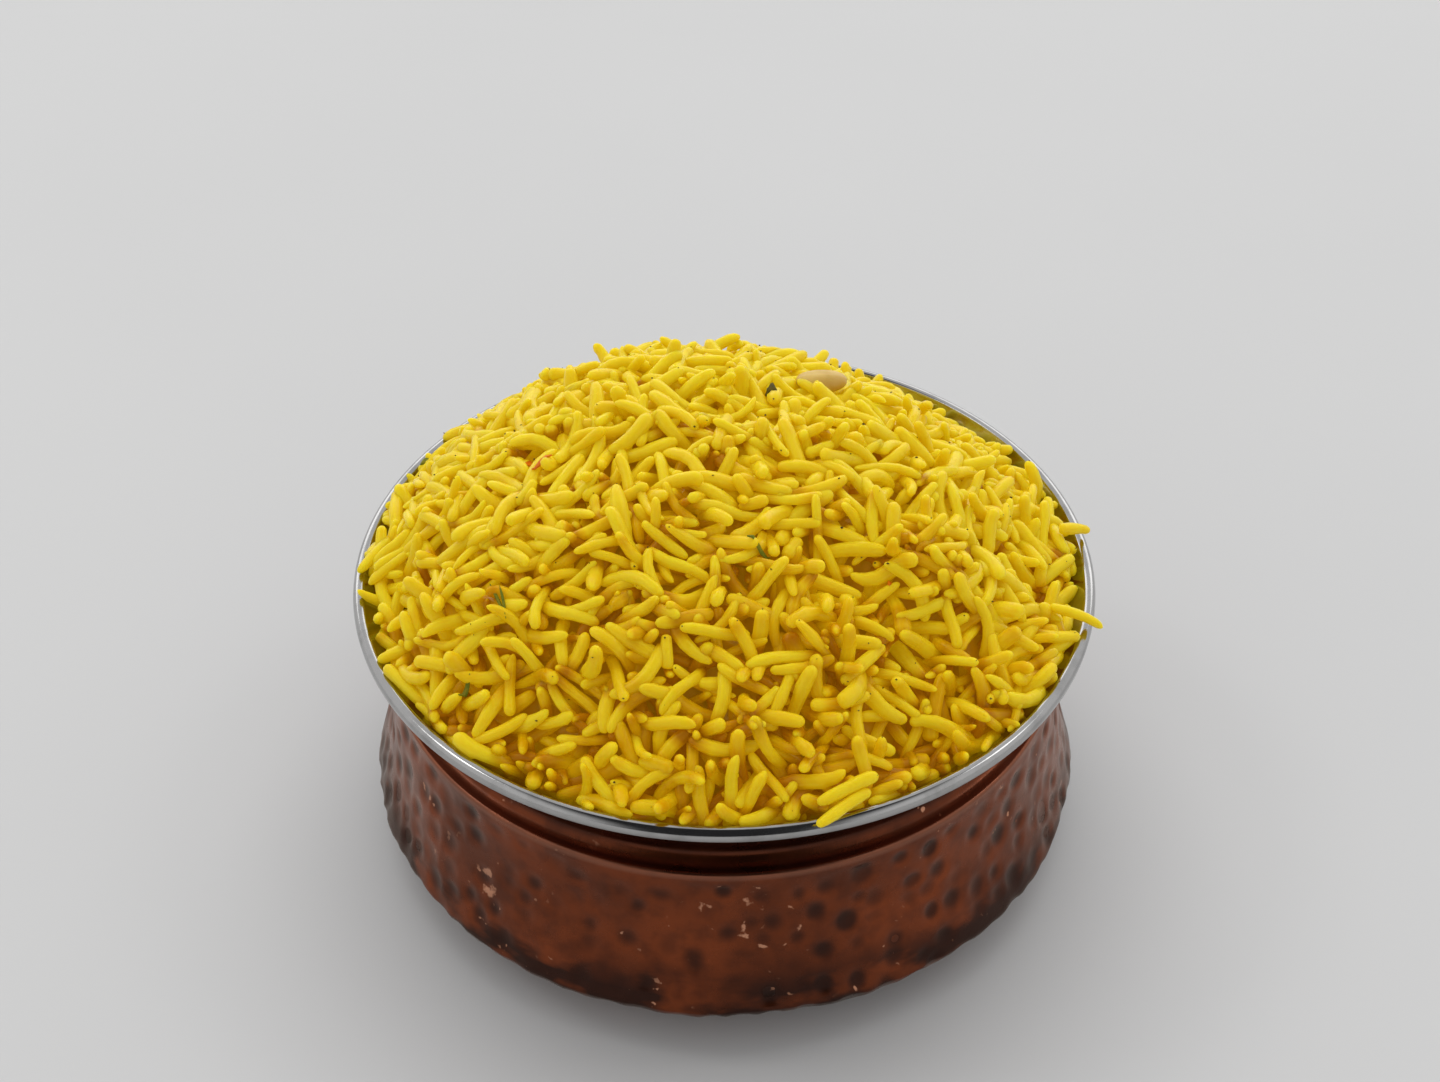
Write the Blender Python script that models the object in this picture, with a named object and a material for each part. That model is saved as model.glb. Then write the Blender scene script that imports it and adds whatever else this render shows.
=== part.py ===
"""A bowl of lemon rice: a hammered copper serving bowl with a rolled steel liner, heaped with long-grain rice.

Metres, +Z up. The origin is the middle of the bowl's base, which stands on Z = 0.
"""

import math
import random

import bmesh
import bpy
from mathutils import Matrix, Vector

# The bowl. Radii are from its axis, drops are down from the top of its rim.
RIM_HEIGHT = 0.0592
RIM_RADIUS = 0.0700
FLARE_RADIUS = 0.0690
FLARE_DROP = 0.0022
NECK_RADIUS = 0.0612
NECK_DROP = 0.0138
NECK_FILLET = 0.0024  # the hollow curve under the neck
FILLET_TURN = 76  # degrees that it turns outwards
LEDGE_RADIUS = 0.0642  # the ledge that the fillet ends in
LEDGE_DROP = 0.0164
SHOULDER_RADIUS = 0.0646
SHOULDER_DROP = 0.0169
BELLY_RADIUS = 0.0700
BELLY_DROP = 0.0469
BELLY_POWER = 1.8  # 1 is a straight cone
FOOT_ROUNDING = 1.8
BASE_RADIUS = 0.0320
BEAD_RADII = (0.0013, 0.0014)  # the rolled rim's section, across and up
BEAD_TURNS = (126, 98, 70, 42, 10)  # degrees round it, from inside the bowl
LIP_DROP = 0.0024
LIP_DRAFT = 0.0001  # how far in the lip's lower edge lies
LIP_WALL = 0.0005
COPPER_WALL = 0.0008
STEEL_WALL = 0.0007
GAP = 0.0003
SIDES = 40
INNER_FLARE_STEPS = 2

# The rice heap's bare core.
HEAP_HEIGHT = 0.0288  # above the rim
HEAP_POWER = 2.4  # 2 is a parabola, more is flatter on top
HEAP_SHIFT = (-0.0045, 0.0010)  # where the peak lies
HEAP_LUMPS = 0.0006
HEAP_RINGS = 9
HEAP_EDGE = 0.40  # how far down the flare the heap's edge lies
HOLLOWS = [  # dips between clumps of grains, and clumps with a negative depth: x, y, radius, depth
    (-0.0065, -0.032, 0.0050, 0.0024),
    (-0.013, -0.009, 0.0050, 0.0016),
    (0.008, -0.038, 0.0060, 0.0020),
    (0.022, -0.026, 0.0065, 0.0034),
    (0.030, -0.033, 0.0060, 0.0030),
    (0.038, -0.037, 0.0060, 0.0026),
    (-0.004, -0.050, 0.0065, 0.0030),
    (0.014, -0.051, 0.0050, 0.0016),
    (0.031, -0.052, 0.0060, 0.0024),
    (-0.028, -0.028, 0.0050, 0.0014),
    (-0.036, 0.001, 0.0060, 0.0016),
    (0.031, -0.006, 0.0050, 0.0018),
    (0.042, -0.019, 0.0100, -0.0018),
    (-0.045, -0.020, 0.0120, -0.0010),
]

# The grains fused to it.
GRAINS = 210
GRAIN_LENGTH = (0.0090, 0.0125)
GRAIN_THICKNESS = (0.0023, 0.0028)
GRAIN_BEND = 0.0016
GRAIN_TILT = 0.42
GRAIN_SCATTER = (0.02, 0.06)  # how far a grain strays from the even spiral: share of its reach, radians
GRAIN_OUT = (0.25, 0.48)  # how far its middle lies above the core, in thicknesses
GRAIN_LIFT = 0.6  # the most that it is raised to clear the rim, in thicknesses
GRAIN_BLUNT = 1.08  # how much its end rings are widened
OUTERMOST = 0.985  # the furthest reach of a grain's middle
GRAIN_SHORTER = (1.0, 0.75, 0.5)  # tried in turn where a whole grain would cross the rim
GRAIN_SEED = 4

# Toppings: a piece of nut, and shreds and a leaf of herb as (reach, angle in degrees, length, width, heading).
NUT_PLACE = (0.51, 49)
NUT_SIZE = (0.0104, 0.0058, 0.0042)
NUT_BEND = 0.0014
NUT_FLAT = 0.75  # how far down its underside is cut off
NUT_CLEAR = 0.0075  # no grain's middle is nearer to the nut's
NUT_NEAR = 0.0125  # and nearer than this the grains are shorter
NEAR_LENGTH = 0.6
HERBS = [
    (0.31, 54, 0.0048, 0.0028, 20),
    (0.90, 151, 0.0062, 0.0013, 15),
    (0.93, 158, 0.0050, 0.0011, 50),
    (0.70, 218, 0.0078, 0.0011, 110),
    (0.74, 222, 0.0060, 0.0010, 80),
    (0.86, 224, 0.0050, 0.0015, 30),
]
HERB_THICKNESS = 0.0008
HERB_WAVE = 0.0005


def below_rim(radius, drop):
    return Vector((radius, RIM_HEIGHT - drop))


def flare_line(steps=3):
    """From the copper's top edge in to the neck: 45 degrees at the top, upright at the neck."""
    start = below_rim(FLARE_RADIUS, FLARE_DROP)
    corner = below_rim(NECK_RADIUS, FLARE_DROP + FLARE_RADIUS - NECK_RADIUS)
    end = below_rim(NECK_RADIUS, NECK_DROP)
    line = []
    for i in range(steps + 1):
        t = i / steps
        line.append(start * (1 - t) ** 2 + corner * 2 * t * (1 - t) + end * t**2)
    return line


def shoulder_line(steps=2):
    """The hollow curve under the neck, the narrow ledge and its rounded edge."""
    line = []
    for i in range(steps + 1):
        turn = math.radians(FILLET_TURN) * i / steps
        line.append(
            below_rim(NECK_RADIUS + NECK_FILLET * (1 - math.cos(turn)), NECK_DROP + NECK_FILLET * math.sin(turn))
        )
    return line[1:] + [below_rim(LEDGE_RADIUS, LEDGE_DROP), below_rim(SHOULDER_RADIUS, SHOULDER_DROP)]


def belly_line(steps=3):
    """The belly widens steadily to its widest ring, then rounds under to the base."""
    line = []
    for i in range(1, steps + 1):
        t = i / steps
        radius = SHOULDER_RADIUS + (BELLY_RADIUS - SHOULDER_RADIUS) * t**BELLY_POWER
        line.append(below_rim(radius, SHOULDER_DROP + (BELLY_DROP - SHOULDER_DROP) * t))
    return line


def foot_line(steps=5):
    power = 2 / FOOT_ROUNDING
    line = []
    for i in range(1, steps):
        turn = math.pi / 2 * i / steps
        radius = BASE_RADIUS + (BELLY_RADIUS - BASE_RADIUS) * math.cos(turn) ** power
        line.append(below_rim(radius, BELLY_DROP + (RIM_HEIGHT - BELLY_DROP) * math.sin(turn) ** power))
    return line + [Vector((BASE_RADIUS, 0)), Vector((0, 0))]


def inset_line(line, distance):
    """The line moved towards the inside of the bowl, with mitred corners."""
    normals = []
    for a, b in zip(line, line[1:]):
        along = (b - a).normalized()
        normals.append(Vector((along.y, -along.x)))
    moved = []
    for i, point in enumerate(line):
        before = normals[max(i - 1, 0)]
        after = normals[min(i, len(normals) - 1)]
        moved.append(point + (before + after) / (1 + before.dot(after)) * distance)
    return moved


def guide_line():
    """The line that the inner faces follow. It cuts behind the shoulder's ledge."""
    return flare_line(INNER_FLARE_STEPS) + belly_line(2) + foot_line(4)


def turned(name, profile):
    """A solid of revolution from a closed profile of (radius, height), whose ends lie on the axis."""
    shape = bmesh.new()
    corners = [shape.verts.new((point.x, 0, point.y)) for point in profile]
    edges = [shape.edges.new(pair) for pair in zip(corners, corners[1:])]
    bmesh.ops.spin(
        shape, geom=corners + edges, axis=(0, 0, 1), cent=(0, 0, 0), angle=math.tau, steps=SIDES, use_merge=True
    )
    bmesh.ops.remove_doubles(shape, verts=shape.verts[:], dist=1e-6)
    bmesh.ops.recalc_face_normals(shape, faces=shape.faces[:])
    return finish(name, shape)


def finish(name, shape):
    mesh = bpy.data.meshes.new(name)
    shape.to_mesh(mesh)
    shape.free()
    made = bpy.data.objects.new(name, mesh)
    bpy.context.scene.collection.objects.link(made)
    return made


def material(made, color, roughness, metallic=0.0):
    paint = bpy.data.materials.new(made.name + "_finish")
    paint.use_nodes = True
    surface = paint.node_tree.nodes["Principled BSDF"]
    surface.inputs["Base Color"].default_value = (*color, 1)
    surface.inputs["Roughness"].default_value = roughness
    surface.inputs["Metallic"].default_value = metallic
    made.data.materials.clear()
    made.data.materials.append(paint)


def smooth(made, sharp_degrees=40):
    made.data.shade_smooth()
    made.data.set_sharp_from_angle(angle=math.radians(sharp_degrees))


def copper_shell():
    outer = flare_line() + shoulder_line() + belly_line() + foot_line()
    inner = inset_line(guide_line(), COPPER_WALL)
    shell = turned("copper_shell", outer[::-1] + inner)
    material(shell, (0.20, 0.055, 0.025), 0.35, 1.0)
    smooth(shell)


def rim_line():
    """The steel rolled over the copper's edge, from inside the bowl, over the crest, to the groove under the lip."""
    across, up = BEAD_RADII
    bead = []
    for degrees in BEAD_TURNS:
        turn = math.radians(degrees)
        bead.append(below_rim(RIM_RADIUS - across * (1 - math.cos(turn)), up * (1 - math.sin(turn))))
    lip = RIM_RADIUS - LIP_WALL
    groove = FLARE_DROP - COPPER_WALL
    return bead + [below_rim(RIM_RADIUS - LIP_DRAFT, LIP_DROP), below_rim(lip, LIP_DROP), below_rim(lip, groove)]


def steel_liner():
    line = guide_line()
    outer = inset_line(line, COPPER_WALL + GAP)
    inner = inset_line(line, COPPER_WALL + GAP + STEEL_WALL)
    liner = turned("steel_liner", inner[::-1] + rim_line() + outer)
    material(liner, (0.62, 0.61, 0.60), 0.22, 1.0)
    smooth(liner)


def contents_line():
    """What the contents fill: the liner's inner face, a gap clear of it, from partway down the flare."""
    top, *rest = inset_line(guide_line(), COPPER_WALL + GAP + STEEL_WALL + GAP)
    return [top.lerp(rest[0], HEAP_EDGE)] + rest


def unevenness(x, y, reach, angle):
    """How far the heap's top stands off its smooth form."""
    lumps = math.sin(3 * angle + 5 * reach) + math.sin(5 * angle - 7 * reach + 2)
    inwards = 1 - reach**2
    height = HEAP_LUMPS * lumps * reach * inwards * 2
    for middle_x, middle_y, radius, depth in HOLLOWS:
        height -= depth * math.exp(-((x - middle_x) ** 2 + (y - middle_y) ** 2) / radius**2) * min(1, inwards * 3)
    return height


def heap_point(reach, angle):
    """A point on the bare core's top. Reach is 0 at the peak and 1 at the edge."""
    edge = contents_line()[0]
    inwards = 1 - reach**2
    x = HEAP_SHIFT[0] * inwards + edge.x * reach * math.cos(angle)
    y = HEAP_SHIFT[1] * inwards + edge.x * reach * math.sin(angle)
    rise = RIM_HEIGHT + HEAP_HEIGHT - edge.y
    return Vector((x, y, edge.y + rise * (1 - reach**HEAP_POWER) + unevenness(x, y, reach, angle)))


def heap_frame(reach, angle, heading, tilt=0.0):
    """A frame on the core's top: Z runs along the piece that lies there, X points out of the heap."""
    here = heap_point(reach, angle)
    outward = heap_point(reach + 0.01, angle) - here
    round_it = heap_point(reach, angle + 0.01 / max(reach, 0.05)) - here
    normal = outward.cross(round_it).normalized()
    along = (outward.normalized() * math.cos(heading) + normal.cross(outward).normalized() * math.sin(heading))
    along = (along * math.cos(tilt) + normal * math.sin(tilt)).normalized()
    side = along.cross(normal).normalized()
    normal = side.cross(along)
    return here, normal, Matrix((normal, side, along)).transposed()


def rice_core():
    """The heap's core, which fills the liner: a turned solid whose top is then made lumpy."""
    below = contents_line()
    edge = below[0]
    rise = RIM_HEIGHT + HEAP_HEIGHT - edge.y
    top = []
    for i in range(HEAP_RINGS):
        reach = i / HEAP_RINGS
        top.append(Vector((edge.x * reach, edge.y + rise * (1 - reach**HEAP_POWER))))
    core = turned("rice_heap", top + below)
    for vertex in core.data.vertices:
        radius = math.hypot(vertex.co.x, vertex.co.y)
        if vertex.co.z > edge.y + 1e-5:
            vertex.co = heap_point(radius / edge.x, math.atan2(vertex.co.y, vertex.co.x))
    return core


def grain(name, length, thickness, bend):
    """A long grain along Z, bent towards X: two blunt tips and three rings of five points."""
    shape = bmesh.new()
    bmesh.ops.create_uvsphere(shape, u_segments=5, v_segments=4, radius=1)
    for vertex in shape.verts:
        along = vertex.co.z
        blunt = GRAIN_BLUNT if abs(along) > 0.1 else 1.0
        x = vertex.co.x * thickness / 2 * blunt + bend * (0.5 - along**2)
        vertex.co = (x, vertex.co.y * thickness / 2 * blunt, along * length / 2)
    return finish(name, shape)


def herb_strip(name, length, width):
    """A shred of herb along Z: a thin wavy solid, both faces split alike."""
    shape = bmesh.new()
    rows = []
    for i in range(4):
        t = i / 3
        wave = HERB_WAVE * math.sin(t * 5)
        half = width / 2 * (0.35 + 0.65 * math.sin(math.pi * (0.1 + 0.8 * t)))
        z = length * (t - 0.5)
        rows.append([
            shape.verts.new((wave + x, y, z))
            for x, y in ((0, -half), (HERB_THICKNESS, -half), (HERB_THICKNESS, half), (0, half))
        ])
    shape.faces.new(rows[0])
    shape.faces.new(rows[-1][::-1])
    for low, high in zip(rows, rows[1:]):
        for k in range(4):
            shape.faces.new((low[k], high[k], high[(k + 1) % 4], low[(k + 1) % 4]))
    bmesh.ops.recalc_face_normals(shape, faces=shape.faces[:])
    return finish(name, shape)


def room_above_liner(points):
    """How far the points must rise to lie a gap clear of the liner and its rim, or 0 where they're clear."""
    inner = inset_line(guide_line(), COPPER_WALL + GAP + STEEL_WALL)[INNER_FLARE_STEPS::-1] + rim_line()[:3]
    lift = 0.0
    for point in points:
        radius = math.hypot(point.x, point.y) + GAP * 2
        if radius < inner[0].x:
            continue
        floor = RIM_HEIGHT
        for low, high in zip(inner, inner[1:]):
            if low.x <= radius <= high.x:
                floor = low.y + (high.y - low.y) * (radius - low.x) / (high.x - low.x)
        lift = max(lift, floor + GAP - point.z)
    return lift


def placed(piece, where, turn):
    """Moves the piece's mesh to its place and returns its points."""
    piece.data.transform(Matrix.Translation(where) @ turn.to_4x4())
    return [vertex.co.copy() for vertex in piece.data.vertices]


def scattered_grains(nut_middle):
    """Grains spread evenly over the core, clear of the liner and the nut. One that can't be is left out."""
    draw = random.Random(GRAIN_SEED)
    grains = []
    for i in range(GRAINS):
        astray = draw.uniform(-GRAIN_SCATTER[0], GRAIN_SCATTER[0])
        reach = min(OUTERMOST, math.sqrt((i + 0.5) / GRAINS) * (1 + astray))
        angle = i * math.pi * (3 - math.sqrt(5)) + draw.uniform(-GRAIN_SCATTER[1], GRAIN_SCATTER[1])
        length, thickness = draw.uniform(*GRAIN_LENGTH), draw.uniform(*GRAIN_THICKNESS)
        bend, tilt = draw.uniform(0.2, 1) * GRAIN_BEND, draw.uniform(-GRAIN_TILT, GRAIN_TILT)
        here, normal, turn = heap_frame(reach, angle, draw.uniform(0, math.tau), tilt)
        middle = here + normal * thickness * draw.uniform(*GRAIN_OUT)
        near_nut = (middle - nut_middle).length
        if near_nut < NUT_CLEAR:
            continue
        if near_nut < NUT_NEAR:
            length *= NEAR_LENGTH
        for share in GRAIN_SHORTER:
            piece = grain("grain", length * share, thickness, bend)
            points = placed(piece, middle, turn)
            lift = room_above_liner(points)
            reaches = max(math.hypot(point.x, point.y) for point in points)
            if lift < thickness * GRAIN_LIFT and reaches < RIM_RADIUS - GAP:
                piece.data.transform(Matrix.Translation((0, 0, lift)))
                grains.append(piece)
                break
            bpy.data.objects.remove(piece)
    return grains


def herb_strips():
    strips = []
    for reach, degrees, length, width, heading in HERBS:
        here, normal, turn = heap_frame(reach, math.radians(degrees), math.radians(heading))
        piece = herb_strip("herb", length, width)
        placed(piece, here + normal * GRAIN_THICKNESS[0] * 0.8, turn)
        strips.append(piece)
    return strips


def join_to(core, pieces):
    """Joins the pieces to the core with one Boolean union, and removes them."""
    loose = bpy.data.collections.new("loose_pieces")
    bpy.context.scene.collection.children.link(loose)
    for piece in pieces:
        bpy.context.scene.collection.objects.unlink(piece)
        loose.objects.link(piece)
    union = core.modifiers.new("join", "BOOLEAN")
    union.operation = "UNION"
    union.operand_type = "COLLECTION"
    union.collection = loose
    union.solver = "EXACT"
    joined = bpy.data.meshes.new_from_object(core.evaluated_get(bpy.context.evaluated_depsgraph_get()))
    core.modifiers.remove(union)
    core.data = joined
    for piece in pieces:
        bpy.data.objects.remove(piece)
    bpy.data.collections.remove(loose)


def keep_largest_shell(made):
    """Drops every loose scrap and the skin of every sealed hollow, which leaves one closed body."""
    shape = bmesh.new()
    shape.from_mesh(made.data)
    left = set(shape.verts)
    shells = []
    while left:
        shell, edge = set(), [left.pop()]
        while edge:
            vertex = edge.pop()
            shell.add(vertex)
            for link in vertex.link_edges:
                other = link.other_vert(vertex)
                if other in left:
                    left.discard(other)
                    edge.append(other)
        shells.append(shell)
    shells.sort(key=len)
    for shell in shells[:-1]:
        bmesh.ops.delete(shape, geom=list(shell), context="VERTS")
    bmesh.ops.triangulate(shape, faces=shape.faces[:])
    shape.to_mesh(made.data)
    shape.free()


def nut_place():
    """The nut lies a gap above the core. Returns its middle and its frame."""
    reach, degrees = NUT_PLACE
    here, normal, turn = heap_frame(reach, math.radians(degrees), -math.radians(degrees))
    return here + normal * (NUT_SIZE[2] / 2 + GAP * 2), turn


def nut_piece():
    """A split nut, bent like a cashew and flat underneath."""
    shape = bmesh.new()
    bmesh.ops.create_uvsphere(shape, u_segments=9, v_segments=6, radius=1)
    for vertex in shape.verts:
        x, y, z = vertex.co
        x = max(x, -NUT_FLAT) * NUT_SIZE[2] / 2
        y = y * NUT_SIZE[1] / 2 + NUT_BEND * (z * z - 0.4)
        vertex.co = (x, y, z * NUT_SIZE[0] / 2)
    nut = finish("nut_piece", shape)
    placed(nut, *nut_place())
    material(nut, (0.62, 0.42, 0.20), 0.5)
    smooth(nut)


def rice_heap():
    core = rice_core()
    join_to(core, scattered_grains(nut_place()[0]) + herb_strips())
    keep_largest_shell(core)
    material(core, (0.80, 0.58, 0.03), 0.4)
    smooth(core, 60)


def main():
    for old in list(bpy.data.objects):
        bpy.data.objects.remove(old)
    copper_shell()
    steel_liner()
    rice_heap()
    nut_piece()


main()
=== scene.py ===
import math
import bpy
import numpy as np
from mathutils import Matrix, Vector


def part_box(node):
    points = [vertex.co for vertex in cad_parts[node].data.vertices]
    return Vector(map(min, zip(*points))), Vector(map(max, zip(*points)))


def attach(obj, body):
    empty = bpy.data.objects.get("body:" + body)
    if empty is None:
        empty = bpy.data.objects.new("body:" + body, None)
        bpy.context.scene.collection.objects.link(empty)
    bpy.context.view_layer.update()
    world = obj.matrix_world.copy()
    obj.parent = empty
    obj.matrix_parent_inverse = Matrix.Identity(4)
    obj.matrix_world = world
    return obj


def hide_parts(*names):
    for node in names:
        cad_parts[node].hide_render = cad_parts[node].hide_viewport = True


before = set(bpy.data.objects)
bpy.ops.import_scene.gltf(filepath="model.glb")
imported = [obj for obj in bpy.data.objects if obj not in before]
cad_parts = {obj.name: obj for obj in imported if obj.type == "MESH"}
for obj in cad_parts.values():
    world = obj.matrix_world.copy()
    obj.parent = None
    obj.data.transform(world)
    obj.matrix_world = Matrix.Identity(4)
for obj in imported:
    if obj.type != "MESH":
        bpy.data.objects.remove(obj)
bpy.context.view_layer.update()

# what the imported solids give: every place below is worked out from these
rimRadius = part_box("steel_liner")[1].x
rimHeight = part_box("steel_liner")[1].z
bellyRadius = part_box("copper_shell")[1].x

scene = bpy.context.scene


def newObject(name, mesh):
    made = bpy.data.objects.new(name, mesh)
    scene.collection.objects.link(made)
    return made


def meshFrom(name, points, faces=(), edges=()):
    mesh = bpy.data.meshes.new(name)
    mesh.from_pydata([tuple(p) for p in points], [tuple(e) for e in edges], [tuple(f) for f in faces])
    mesh.update()
    return mesh


def addPointValues(mesh, name, values):
    mesh.attributes.new(name, "FLOAT", "POINT").data.foreach_set("value", np.asarray(values, np.float32))


def fillSockets(tree, made, values):  # a socket is linked, anything else is set as the value
    for key, value in values.items():
        if isinstance(value, bpy.types.NodeSocket):
            tree.links.new(value, made.inputs[key])
        else:
            made.inputs[key].default_value = value


def treeNode(tree, kind, inputs=None, **settings):
    made = tree.nodes.new(kind)
    for key, value in settings.items():
        setattr(made, key, value)
    fillSockets(tree, made, inputs or {})
    return made


def newMaterial(name):
    made = bpy.data.materials.new(name)
    made.use_nodes = True
    return made, made.node_tree, made.node_tree.nodes["Principled BSDF"]


def runTree(made, tree, **values):  # geometry nodes with named inputs, then made a plain mesh
    modifier = made.modifiers.new("build", "NODES")
    modifier.node_group = tree
    for item in tree.interface.items_tree:
        if item.item_type == "SOCKET" and item.in_out == "INPUT" and item.name in values:
            modifier[item.identifier] = values[item.name]
    graph = bpy.context.evaluated_depsgraph_get()
    plain = bpy.data.meshes.new_from_object(made.evaluated_get(graph))
    made.modifiers.clear()
    made.data = plain


def newTree(name, **sockets):  # sockets: name = (kind, default)
    tree = bpy.data.node_groups.new(name, "GeometryNodeTree")
    tree.interface.new_socket("Geometry", in_out="INPUT", socket_type="NodeSocketGeometry")
    tree.interface.new_socket("Geometry", in_out="OUTPUT", socket_type="NodeSocketGeometry")
    for key, (kind, default) in sockets.items():
        socket = tree.interface.new_socket(key, in_out="INPUT", socket_type="NodeSocket" + kind)
        if default is not None:
            socket.default_value = default
    return tree, tree.nodes.new("NodeGroupInput"), tree.nodes.new("NodeGroupOutput")


def closePairs(points, reach):  # every pair (i < j) nearer than reach, through a grid of cells
    wide = 4096  # more cells than there are across
    cells = np.floor(points / reach).astype(np.int64)
    cells -= cells.min(0) - 2
    stride = np.array([1, wide, wide * wide], np.int64)
    keys = cells @ stride
    order = np.argsort(keys, kind="stable")
    sortedKeys = keys[order]
    found = []
    for neighbour in np.ndindex(3, 3, 3):
        wanted = keys + (np.array(neighbour) - 1) @ stride
        low = np.searchsorted(sortedKeys, wanted, "left")
        count = np.searchsorted(sortedKeys, wanted, "right") - low
        i = np.repeat(np.arange(len(points)), count)
        step = np.arange(len(i)) - np.repeat(np.cumsum(count) - count, count)
        j = order[np.repeat(low, count) + step]
        found.append(np.stack([i, j], 1)[i < j])
    pairs = np.concatenate(found)
    gap = points[pairs[:, 0]] - points[pairs[:, 1]]
    return pairs[(gap * gap).sum(1) < reach * reach]


def degreesOff(degrees, middle):  # the shorter way round
    return (degrees - middle + 180) % 360 - 180


bowlShape = {  # metres: radii from the axis, drops below the rim's top
    "flareRadius": 0.0690, "flareDrop": 0.0022,
    "neckRadius": 0.0612, "neckDrop": 0.0138, "neckFillet": 0.0024, "filletTurn": 84,
    "ledgeRadius": 0.0641, "ledgeDrop": 0.0162, "shoulderRadius": 0.0647, "shoulderDrop": 0.0170,
    "bellyDrop": 0.0469, "bellyPower": 1.8, "footRounding": 1.8, "baseRadius": 0.0320,
    "copperWall": 0.0008, "steelWall": 0.0007, "gap": 0.0003,
    "beadRadii": (0.0013, 0.0014), "lipDrop": 0.0024, "lipWall": 0.0005,
}


def belowRim(radius, drop):
    return np.array([radius, rimHeight - drop])


def curveThrough(start, corner, end, steps):
    t = np.linspace(0, 1, steps + 1)[:, None]
    return start * (1 - t) ** 2 + corner * 2 * t * (1 - t) + end * t**2


def flareLine(steps):  # from the copper's top edge in to the upright neck
    s = bowlShape
    start = belowRim(s["flareRadius"], s["flareDrop"])
    corner = belowRim(s["neckRadius"], s["flareDrop"] + s["flareRadius"] - s["neckRadius"])
    return curveThrough(start, corner, belowRim(s["neckRadius"], s["neckDrop"]), steps)


def shoulderLine(steps):  # the hollow curve under the neck, the narrow ledge and its rounded edge
    s = bowlShape
    turn = np.radians(np.linspace(0, s["filletTurn"], steps + 1))[1:]
    radius = s["neckRadius"] + s["neckFillet"] * (1 - np.cos(turn))
    fillet = np.stack([radius, rimHeight - s["neckDrop"] - s["neckFillet"] * np.sin(turn)], 1)
    ledge = belowRim(s["ledgeRadius"], s["ledgeDrop"])
    shoulder = belowRim(s["shoulderRadius"], s["shoulderDrop"])
    corner = np.array([shoulder[0], ledge[1]])
    return np.concatenate([fillet, curveThrough(ledge, corner, shoulder, 4)])


def bellyLine(steps):
    s = bowlShape
    t = np.linspace(0, 1, steps + 1)[1:]
    radius = s["shoulderRadius"] + (bellyRadius - s["shoulderRadius"]) * t ** s["bellyPower"]
    fall = (s["bellyDrop"] - s["shoulderDrop"]) * t
    return np.stack([radius, rimHeight - s["shoulderDrop"] - fall], 1)


def footLine(steps):
    s = bowlShape
    turn = np.linspace(0, math.pi / 2, steps + 1)[1:]
    power = 2 / s["footRounding"]
    radius = s["baseRadius"] + (bellyRadius - s["baseRadius"]) * np.cos(turn) ** power
    fall = (rimHeight - s["bellyDrop"]) * (1 - np.sin(turn) ** power)
    return np.concatenate([np.stack([radius, fall], 1), [[0, 0]]])


def insetLine(line, distance):  # moved towards the inside of the bowl, with mitred corners
    along = np.diff(line, axis=0)
    along /= np.linalg.norm(along, axis=1)[:, None]
    normal = np.stack([along[:, 1], -along[:, 0]], 1)
    before = np.concatenate([normal[:1], normal])
    after = np.concatenate([normal, normal[-1:]])
    return line + (before + after) / (1 + (before * after).sum(1))[:, None] * distance


def guideLine(flareSteps, bellySteps, footSteps):
    return np.concatenate([flareLine(flareSteps), bellyLine(bellySteps), footLine(footSteps)])


def linerLine(steps, gaps=1, walls=1):  # the liner's face, from the top of the flare down to the axis
    s = bowlShape
    return insetLine(guideLine(steps, 4, 6), s["copperWall"] + s["gap"] * gaps + s["steelWall"] * walls)


def beadLine(steps):  # the rolled rim, from its inner side over the crest to the groove under the lip
    s = bowlShape
    wide, high = s["beadRadii"]
    turn = np.radians(np.linspace(126, 6, steps))
    bead = np.stack([rimRadius - wide + wide * np.cos(turn), rimHeight - high + high * np.sin(turn)], 1)
    lip = [belowRim(rimRadius - 0.0001, s["lipDrop"] - 0.0003), belowRim(rimRadius - 0.00025, s["lipDrop"]),
           belowRim(rimRadius - s["lipWall"], s["lipDrop"]),
           belowRim(rimRadius - s["lipWall"], s["flareDrop"] - s["copperWall"])]
    return np.concatenate([bead, lip])


def ringFaces(rings, around):  # rings of points joined in turn, and both ends closed to a point
    k, nextK = np.arange(around), (np.arange(around) + 1) % around
    faces = []
    for ring in range(rings - 1):
        a, b = ring * around, (ring + 1) * around
        faces += list(zip(a + k, a + nextK, b + nextK, b + k))
    top, last = rings * around, (rings - 1) * around
    faces += [(top, j, i) for i, j in zip(k, nextK)]
    faces += [(top + 1, last + i, last + j) for i, j in zip(k, nextK)]
    return faces


def turnedMesh(name, profile, sides, shift=None):  # the profile starts and ends on the axis
    turns = np.arange(sides) * math.tau / sides
    rings = profile[1:-1]
    radius = np.repeat(rings[:, :1], sides, 1)
    height = np.repeat(rings[:, 1:], sides, 1)
    marks = None
    if shift is not None:  # (outwards, upwards, a value to keep on each point)
        outwards, upwards, marks = shift(rings, turns)
        radius, height = radius + outwards, height + upwards
    points = np.stack([radius * np.cos(turns), radius * np.sin(turns), height], -1).reshape(-1, 3)
    points = np.concatenate([points, [[0, 0, profile[0, 1]], [0, 0, profile[-1, 1]]]])
    mesh = meshFrom(name, points, ringFaces(len(rings), sides))
    if marks is not None:
        addPointValues(mesh, "mark", np.append(marks.reshape(-1), [0, 0]))
    mesh.shade_smooth()
    return mesh


def mathNode(tree, operation, first, second=0.0, clamp=False):
    made = treeNode(tree, "ShaderNodeMath", {0: first, 1: second}, operation=operation, use_clamp=clamp)
    return made.outputs[0]


def product(tree, first, second):
    return mathNode(tree, "MULTIPLY", first, second)


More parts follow.
